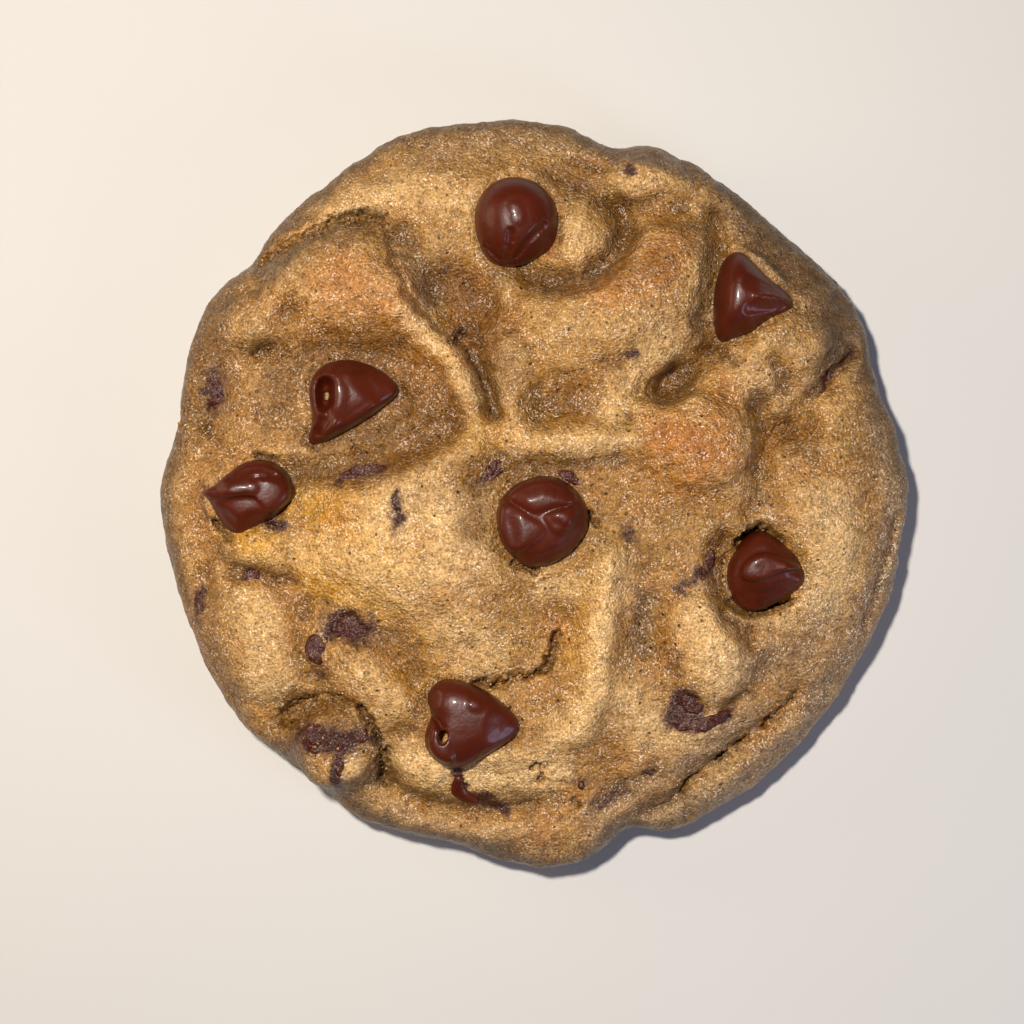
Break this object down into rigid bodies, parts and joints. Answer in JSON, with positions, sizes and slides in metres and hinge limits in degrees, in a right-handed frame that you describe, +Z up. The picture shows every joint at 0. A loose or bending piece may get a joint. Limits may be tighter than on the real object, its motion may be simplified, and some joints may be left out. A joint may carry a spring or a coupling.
{
  "type": "chocolate chip cookie",
  "caption": "Thick round baked cookie with a lumpy domed top, a flat underside and chocolate chips set in its surface.",
  "frame": {"origin": "middle of the cookie's box seen from above, on the surface that its underside rests on", "axes": "+Z up through the thickness, +Y towards the side with the round chip near the edge, +X to the right of it seen from above"},
  "size_m": [0.0836, 0.0834, 0.0186],
  "materials": {
    "baked_dough": "matte",
    "chocolate": "gloss"
  },
  "bodies": {
    "root": {"dough": "baked_dough", "top_chip_1": "chocolate", "top_chip_2": "chocolate", "top_chip_3": "chocolate", "top_chip_4": "chocolate", "top_chip_5": "chocolate", "top_chip_6": "chocolate", "top_chip_7": "chocolate", "sunk_chip_1": "chocolate", "sunk_chip_2": "chocolate", "sunk_chip_3": "chocolate", "sunk_chip_4": "chocolate", "sunk_chip_5": "chocolate"}
  },
  "joints": []
}
